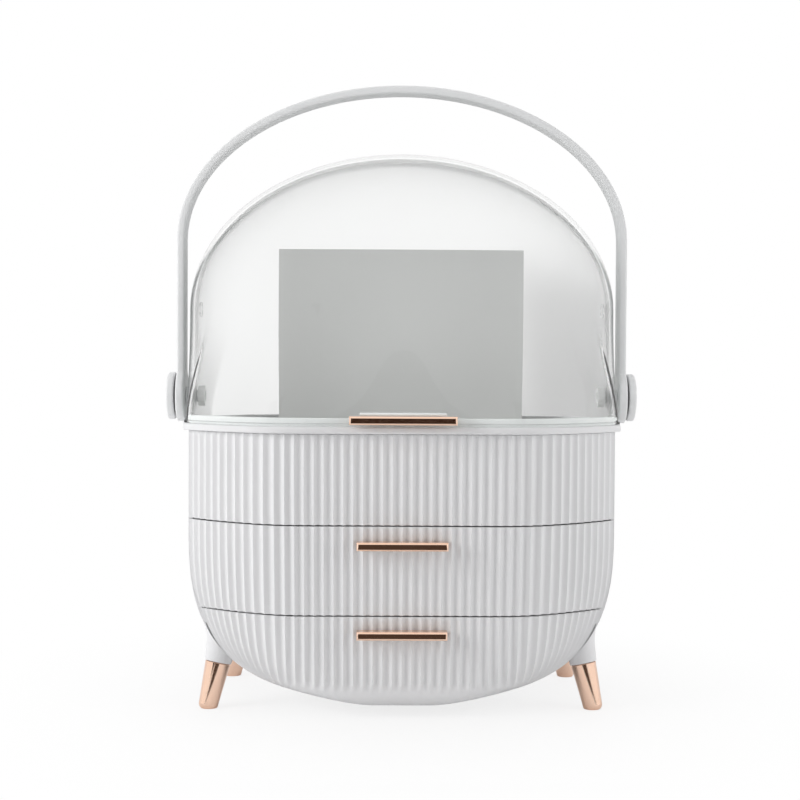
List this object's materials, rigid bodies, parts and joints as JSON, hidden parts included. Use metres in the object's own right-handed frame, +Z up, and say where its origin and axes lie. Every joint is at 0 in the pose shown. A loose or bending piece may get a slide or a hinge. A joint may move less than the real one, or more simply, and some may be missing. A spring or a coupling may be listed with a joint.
{
  "type": "makeup organizer",
  "caption": "Egg-shaped fluted makeup organizer with a clear turning lid over a tray, two sliding drawers, splayed legs and a carrying handle.",
  "frame": {"origin": "bottom centre of the whole, on the table between the feet", "axes": "+Z up, -Y to the front where the drawers slide out, +X to the right seen from the front"},
  "size_m": [0.3456, 0.2408, 0.449],
  "materials": {
    "white_plastic": "satin moulded white",
    "inner_white_plastic": "plain moulded white",
    "clear_plastic": "clear polished",
    "rose_gold": "rose-gold electroplate on plastic",
    "grey_plastic": "pale grey satin",
    "dark_plastic": "dark washer"
  },
  "bodies": {
    "case": {"case_shell": "white_plastic", "front_band": "white_plastic", "tray_liner": "inner_white_plastic", "tray_rim": "white_plastic", "tray_divider_long": "inner_white_plastic", "tray_divider_left": "inner_white_plastic", "tray_divider_right": "inner_white_plastic", "rear_partition": "inner_white_plastic", "middle_deck": "inner_white_plastic", "rear_dome": "white_plastic", "runner_left": "inner_white_plastic", "runner_right": "inner_white_plastic", "leg_socket_front_left": "white_plastic", "leg_tip_front_left": "rose_gold", "leg_socket_rear_left": "white_plastic", "leg_tip_rear_left": "rose_gold", "handle_nut_left": "inner_white_plastic", "handle_spacer_left": "grey_plastic", "lid_pin_left": "clear_plastic", "leg_socket_front_right": "white_plastic", "leg_tip_front_right": "rose_gold", "leg_socket_rear_right": "white_plastic", "leg_tip_rear_right": "rose_gold", "handle_nut_right": "inner_white_plastic", "handle_spacer_right": "grey_plastic", "lid_pin_right": "clear_plastic"},
    "lid": {"lid_shell": "clear_plastic", "lid_pull": "rose_gold"},
    "handle": {"handle_bow": "grey_plastic", "handle_knob_left": "grey_plastic", "handle_washer_left": "dark_plastic", "handle_knob_right": "grey_plastic", "handle_washer_right": "dark_plastic"},
    "drawer_upper": {"drawer_upper_front": "white_plastic", "drawer_upper_bin": "inner_white_plastic", "drawer_upper_pull": "rose_gold", "drawer_upper_divider_long": "inner_white_plastic", "drawer_upper_divider_left": "inner_white_plastic", "drawer_upper_divider_right": "inner_white_plastic"},
    "drawer_lower": {"drawer_lower_front": "white_plastic", "drawer_lower_bin": "inner_white_plastic", "drawer_lower_pull": "rose_gold", "drawer_lower_divider": "inner_white_plastic"}
  },
  "joints": [
    {"name": "lid_turn", "type": "hinge", "parent": "case", "child": "lid", "pos_m": [0, 0.0044, 0.284], "axis": [-1, 0, 0], "range_deg": [0, 80]},
    {"name": "handle_swing", "type": "hinge", "parent": "case", "child": "handle", "pos_m": [0, 0.0044, 0.22], "axis": [-1, 0, 0], "range_deg": [0, 95]},
    {"name": "upper_drawer_slide", "type": "slide", "parent": "case", "child": "drawer_upper", "axis": [0, -1, 0], "range_m": [0, 0.11]},
    {"name": "lower_drawer_slide", "type": "slide", "parent": "case", "child": "drawer_lower", "axis": [0, -1, 0], "range_m": [0, 0.11]}
  ]
}
